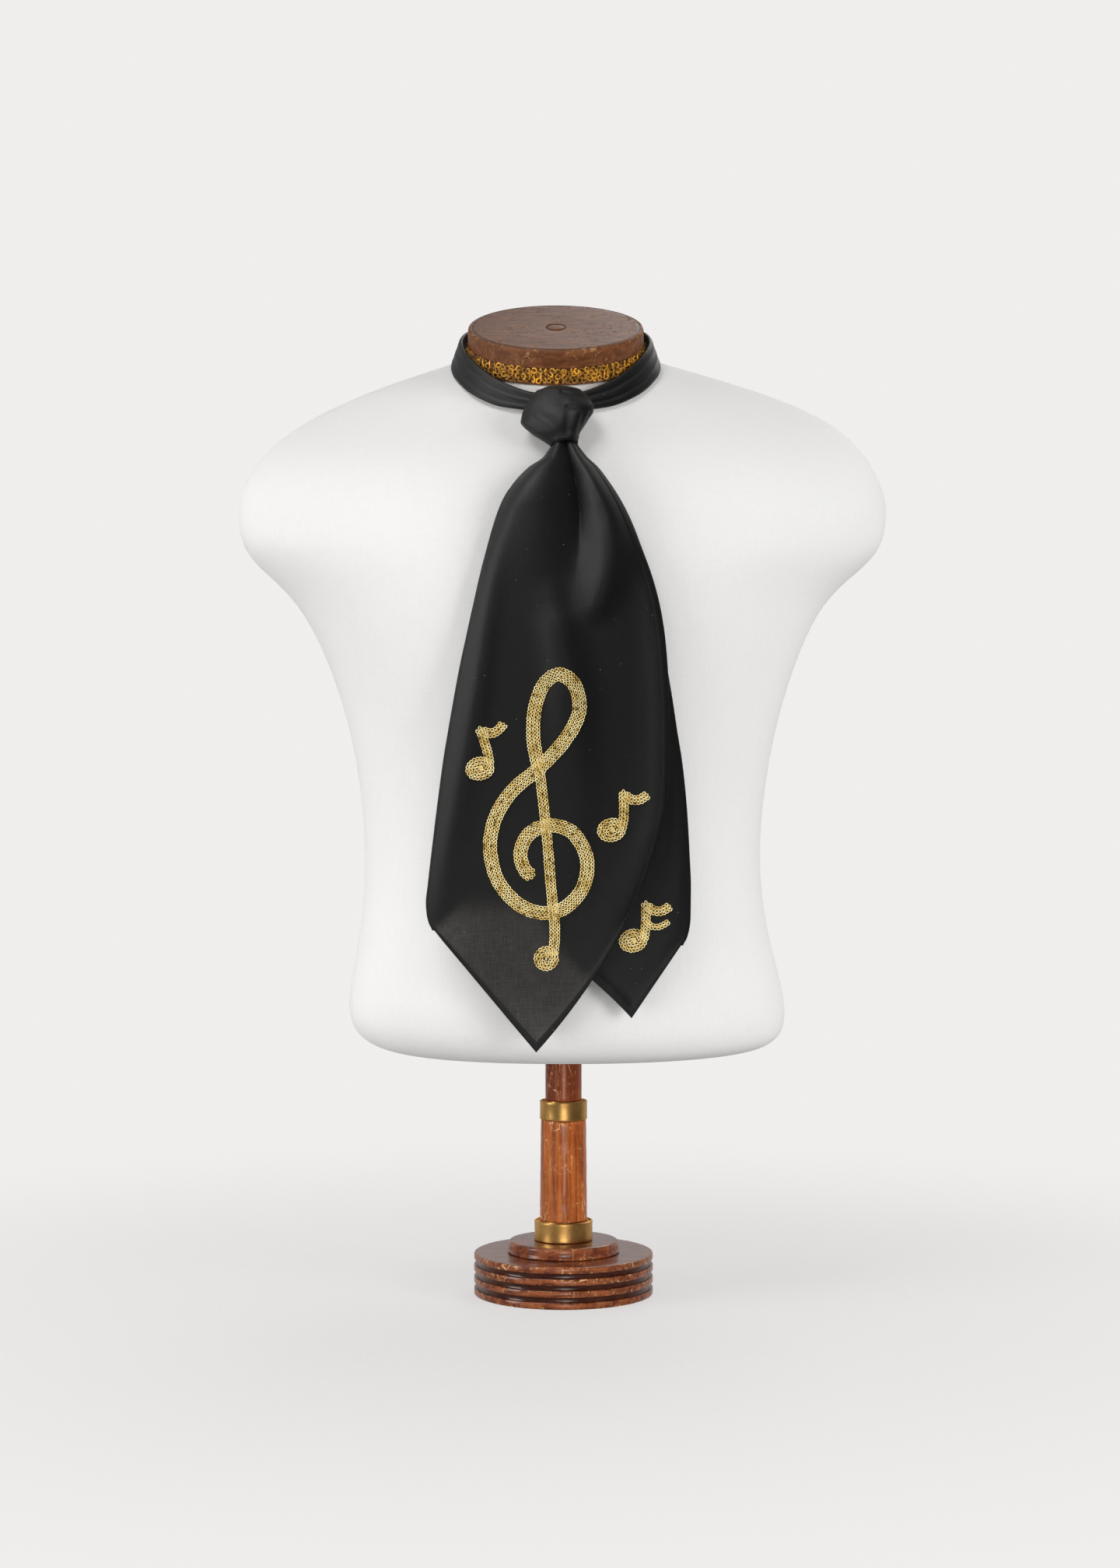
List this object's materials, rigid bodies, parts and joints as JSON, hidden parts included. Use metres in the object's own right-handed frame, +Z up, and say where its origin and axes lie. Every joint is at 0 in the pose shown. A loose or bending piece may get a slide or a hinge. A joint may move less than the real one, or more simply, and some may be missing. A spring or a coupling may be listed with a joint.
{
  "type": "cravat on a limbless dress form with a wooden stand",
  "caption": "Long black cravat with pointed ends, tied at the throat of a limbless torso form that stands on a turned wooden pole and a round base.",
  "frame": {"origin": "middle of the stand's underside, on the pole's axis, at the height of the surface it stands on", "axes": "+Z up along the pole, the cravat and the form's chest face -Y, +X to the viewer's right"},
  "size_m": [0.4556, 0.247, 0.698],
  "materials": {
    "black_cloth": "matt fine plain-weave silk and wool, black",
    "linen_cover": "smooth off-white linen drawn tight over the form",
    "stained_wood": "red-brown stain and worn varnish",
    "dark_wood": "dark brown stain, rubbed edges",
    "aged_brass": "tarnished, dull",
    "gold_gimp": "looped gold gimp braid"
  },
  "bodies": {
    "root": {"front_blade": "black_cloth", "back_blade": "black_cloth", "knot_wrap": "black_cloth", "knot_turn": "black_cloth", "neck_band": "black_cloth", "form_torso": "linen_cover", "neck_ring": "dark_wood", "neck_trim": "gold_gimp", "neck_cap": "dark_wood", "neck_plug": "dark_wood", "pole_upper": "stained_wood", "collar_upper": "aged_brass", "pole_sleeve": "stained_wood", "collar_lower": "aged_brass", "base_boss": "stained_wood", "base_disc": "stained_wood"}
  },
  "joints": []
}
